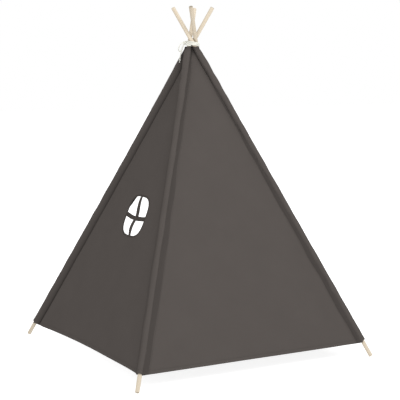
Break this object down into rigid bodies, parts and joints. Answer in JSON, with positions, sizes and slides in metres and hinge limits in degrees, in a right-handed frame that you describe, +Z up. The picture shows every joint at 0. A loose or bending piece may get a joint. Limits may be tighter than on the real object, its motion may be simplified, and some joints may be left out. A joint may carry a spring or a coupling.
{
  "type": "kids teepee",
  "caption": "Child's play teepee: wooden poles lashed with cotton rope carry a sewn cloth canopy with pole pockets, a barred window and tied-back door flaps; it folds like an umbrella.",
  "frame": {"origin": "on the floor under the crossing of the poles", "axes": "+Z up, the door faces -Y, the window faces +X"},
  "size_m": [1.1846, 1.1846, 1.5578],
  "materials": {
    "pine": "smooth sanded pine",
    "cloth": "matte woven cloth",
    "dark_cloth": "matte binding tape",
    "cotton": "twisted cotton",
    "steel": "plain tube"
  },
  "bodies": {
    "frame": {"pole_back_right_lower": "pine", "pole_back_right_middle": "pine", "pole_back_right_upper": "pine", "ferrule_back_right_low": "steel", "ferrule_back_right_high": "steel", "pocket_back_right": "cloth", "lashing_rope": "cotton", "lashing_knot": "cotton", "lashing_loop": "cotton", "lashing_tail": "cotton", "lashing_tail_knot": "cotton"},
    "leg_back_left": {"pole_back_left_lower": "pine", "pole_back_left_middle": "pine", "pole_back_left_upper": "pine", "ferrule_back_left_low": "steel", "ferrule_back_left_high": "steel", "pocket_back_left": "cloth"},
    "leg_front_right": {"pole_front_right_lower": "pine", "pole_front_right_middle": "pine", "pole_front_right_upper": "pine", "ferrule_front_right_low": "steel", "ferrule_front_right_high": "steel", "pocket_front_right": "cloth", "front_strip_right": "cloth", "door_bow_right": "dark_cloth"},
    "leg_front_left": {"pole_front_left_lower": "pine", "pole_front_left_middle": "pine", "pole_front_left_upper": "pine", "ferrule_front_left_low": "steel", "ferrule_front_left_high": "steel", "pocket_front_left": "cloth", "front_strip_left": "cloth", "door_bow_left": "dark_cloth"},
    "window_side": {"window_panel": "cloth", "window_binding": "dark_cloth", "window_bar_upright": "dark_cloth", "window_bar_level": "cloth"},
    "back_side": {"back_panel": "cloth"},
    "plain_side": {"plain_side_panel": "cloth"},
    "front_top": {"front_panel": "cloth", "door_top_patch": "dark_cloth"},
    "flap_side_right": {"door_flap_right": "cloth", "door_tie_right": "dark_cloth"},
    "flap_side_left": {"door_flap_left": "cloth", "door_tie_left": "dark_cloth"},
    "flap_edge_right": {"door_hem_right": "dark_cloth"},
    "flap_edge_left": {"door_hem_left": "dark_cloth"}
  },
  "joints": [
    {"name": "fold", "type": "hinge", "parent": "frame", "child": "leg_back_left", "pos_m": [0, 0, 1.40431], "axis": [0.0159, -0.9227, -0.3851], "range_deg": [0, 36], "deforming": ["lashing_rope", "pocket_back_right", "pocket_back_left"]},
    {"name": "fold_front_right", "type": "hinge", "parent": "frame", "child": "leg_front_right", "pos_m": [0, 0, 1.40431], "axis": [0.9227, 0.0159, 0.3851], "range_deg": [0, 36], "deforming": ["pocket_front_right", "front_strip_right"]},
    {"name": "fold_front_left", "type": "hinge", "parent": "leg_back_left", "child": "leg_front_left", "pos_m": [0, 0, 1.40431], "axis": [0.9227, 0.0159, -0.3851], "range_deg": [0, 36], "deforming": ["pocket_front_left", "front_strip_left"]},
    {"name": "fold_window_side", "type": "hinge", "parent": "frame", "child": "window_side", "pos_m": [0, 0, 1.40431], "axis": [0.9227, 0.0159, 0.3851], "range_deg": [0, 18], "deforming": ["window_panel", "window_binding", "window_bar_upright", "window_bar_level"]},
    {"name": "fold_back_side", "type": "hinge", "parent": "frame", "child": "back_side", "pos_m": [0, 0, 1.40431], "axis": [0.0159, -0.9227, -0.3851], "range_deg": [0, 18], "deforming": ["back_panel"]},
    {"name": "fold_plain_side", "type": "hinge", "parent": "leg_back_left", "child": "plain_side", "pos_m": [0, 0, 1.40431], "axis": [0.9227, 0.0159, -0.3851], "range_deg": [0, 18], "deforming": ["plain_side_panel"]},
    {"name": "fold_front_top", "type": "hinge", "parent": "leg_front_right", "child": "front_top", "pos_m": [0, 0, 1.40431], "axis": [0.1679, -0.9184, -0.3583], "range_deg": [0, 23.86], "deforming": ["front_panel", "door_top_patch"]},
    {"name": "gather_right", "type": "hinge", "parent": "leg_front_right", "child": "flap_side_right", "pos_m": [0.52803, -0.55554, 0.06095], "axis": [0.4223, -0.2368, -0.875], "range_deg": [0, 50.37], "deforming": ["door_flap_right", "door_tie_right"]},
    {"name": "gather_left", "type": "hinge", "parent": "leg_front_left", "child": "flap_side_left", "pos_m": [-0.52903, -0.55474, 0.06095], "axis": [0.3941, 0.2395, 0.8873], "range_deg": [0, 50.4], "deforming": ["door_flap_left", "door_tie_left"]},
    {"name": "door_right", "type": "hinge", "parent": "flap_side_right", "child": "flap_edge_right", "pos_m": [-0.00668, -0.19584, 0.92199], "axis": [0.0159, -0.9227, 0.3851], "range_deg": [-27.45, 0], "deforming": ["door_hem_right"]},
    {"name": "door_left", "type": "hinge", "parent": "flap_side_left", "child": "flap_edge_left", "pos_m": [-0.00668, -0.19584, 0.92199], "axis": [-0.0159, 0.9227, -0.3851], "range_deg": [-27.45, 0], "deforming": ["door_hem_left"]}
  ],
  "couplings": [
    {"joint": "fold_front_right", "follows": "fold", "ratio": 1},
    {"joint": "fold_front_left", "follows": "fold", "ratio": 1},
    {"joint": "fold_window_side", "follows": "fold", "ratio": 0.5},
    {"joint": "fold_back_side", "follows": "fold", "ratio": 0.5},
    {"joint": "fold_plain_side", "follows": "fold", "ratio": 0.5},
    {"joint": "fold_front_top", "follows": "fold", "ratio": 0.66272},
    {"joint": "gather_right", "follows": "fold", "ratio": 1.3993},
    {"joint": "gather_left", "follows": "fold", "ratio": 1.4001}
  ]
}
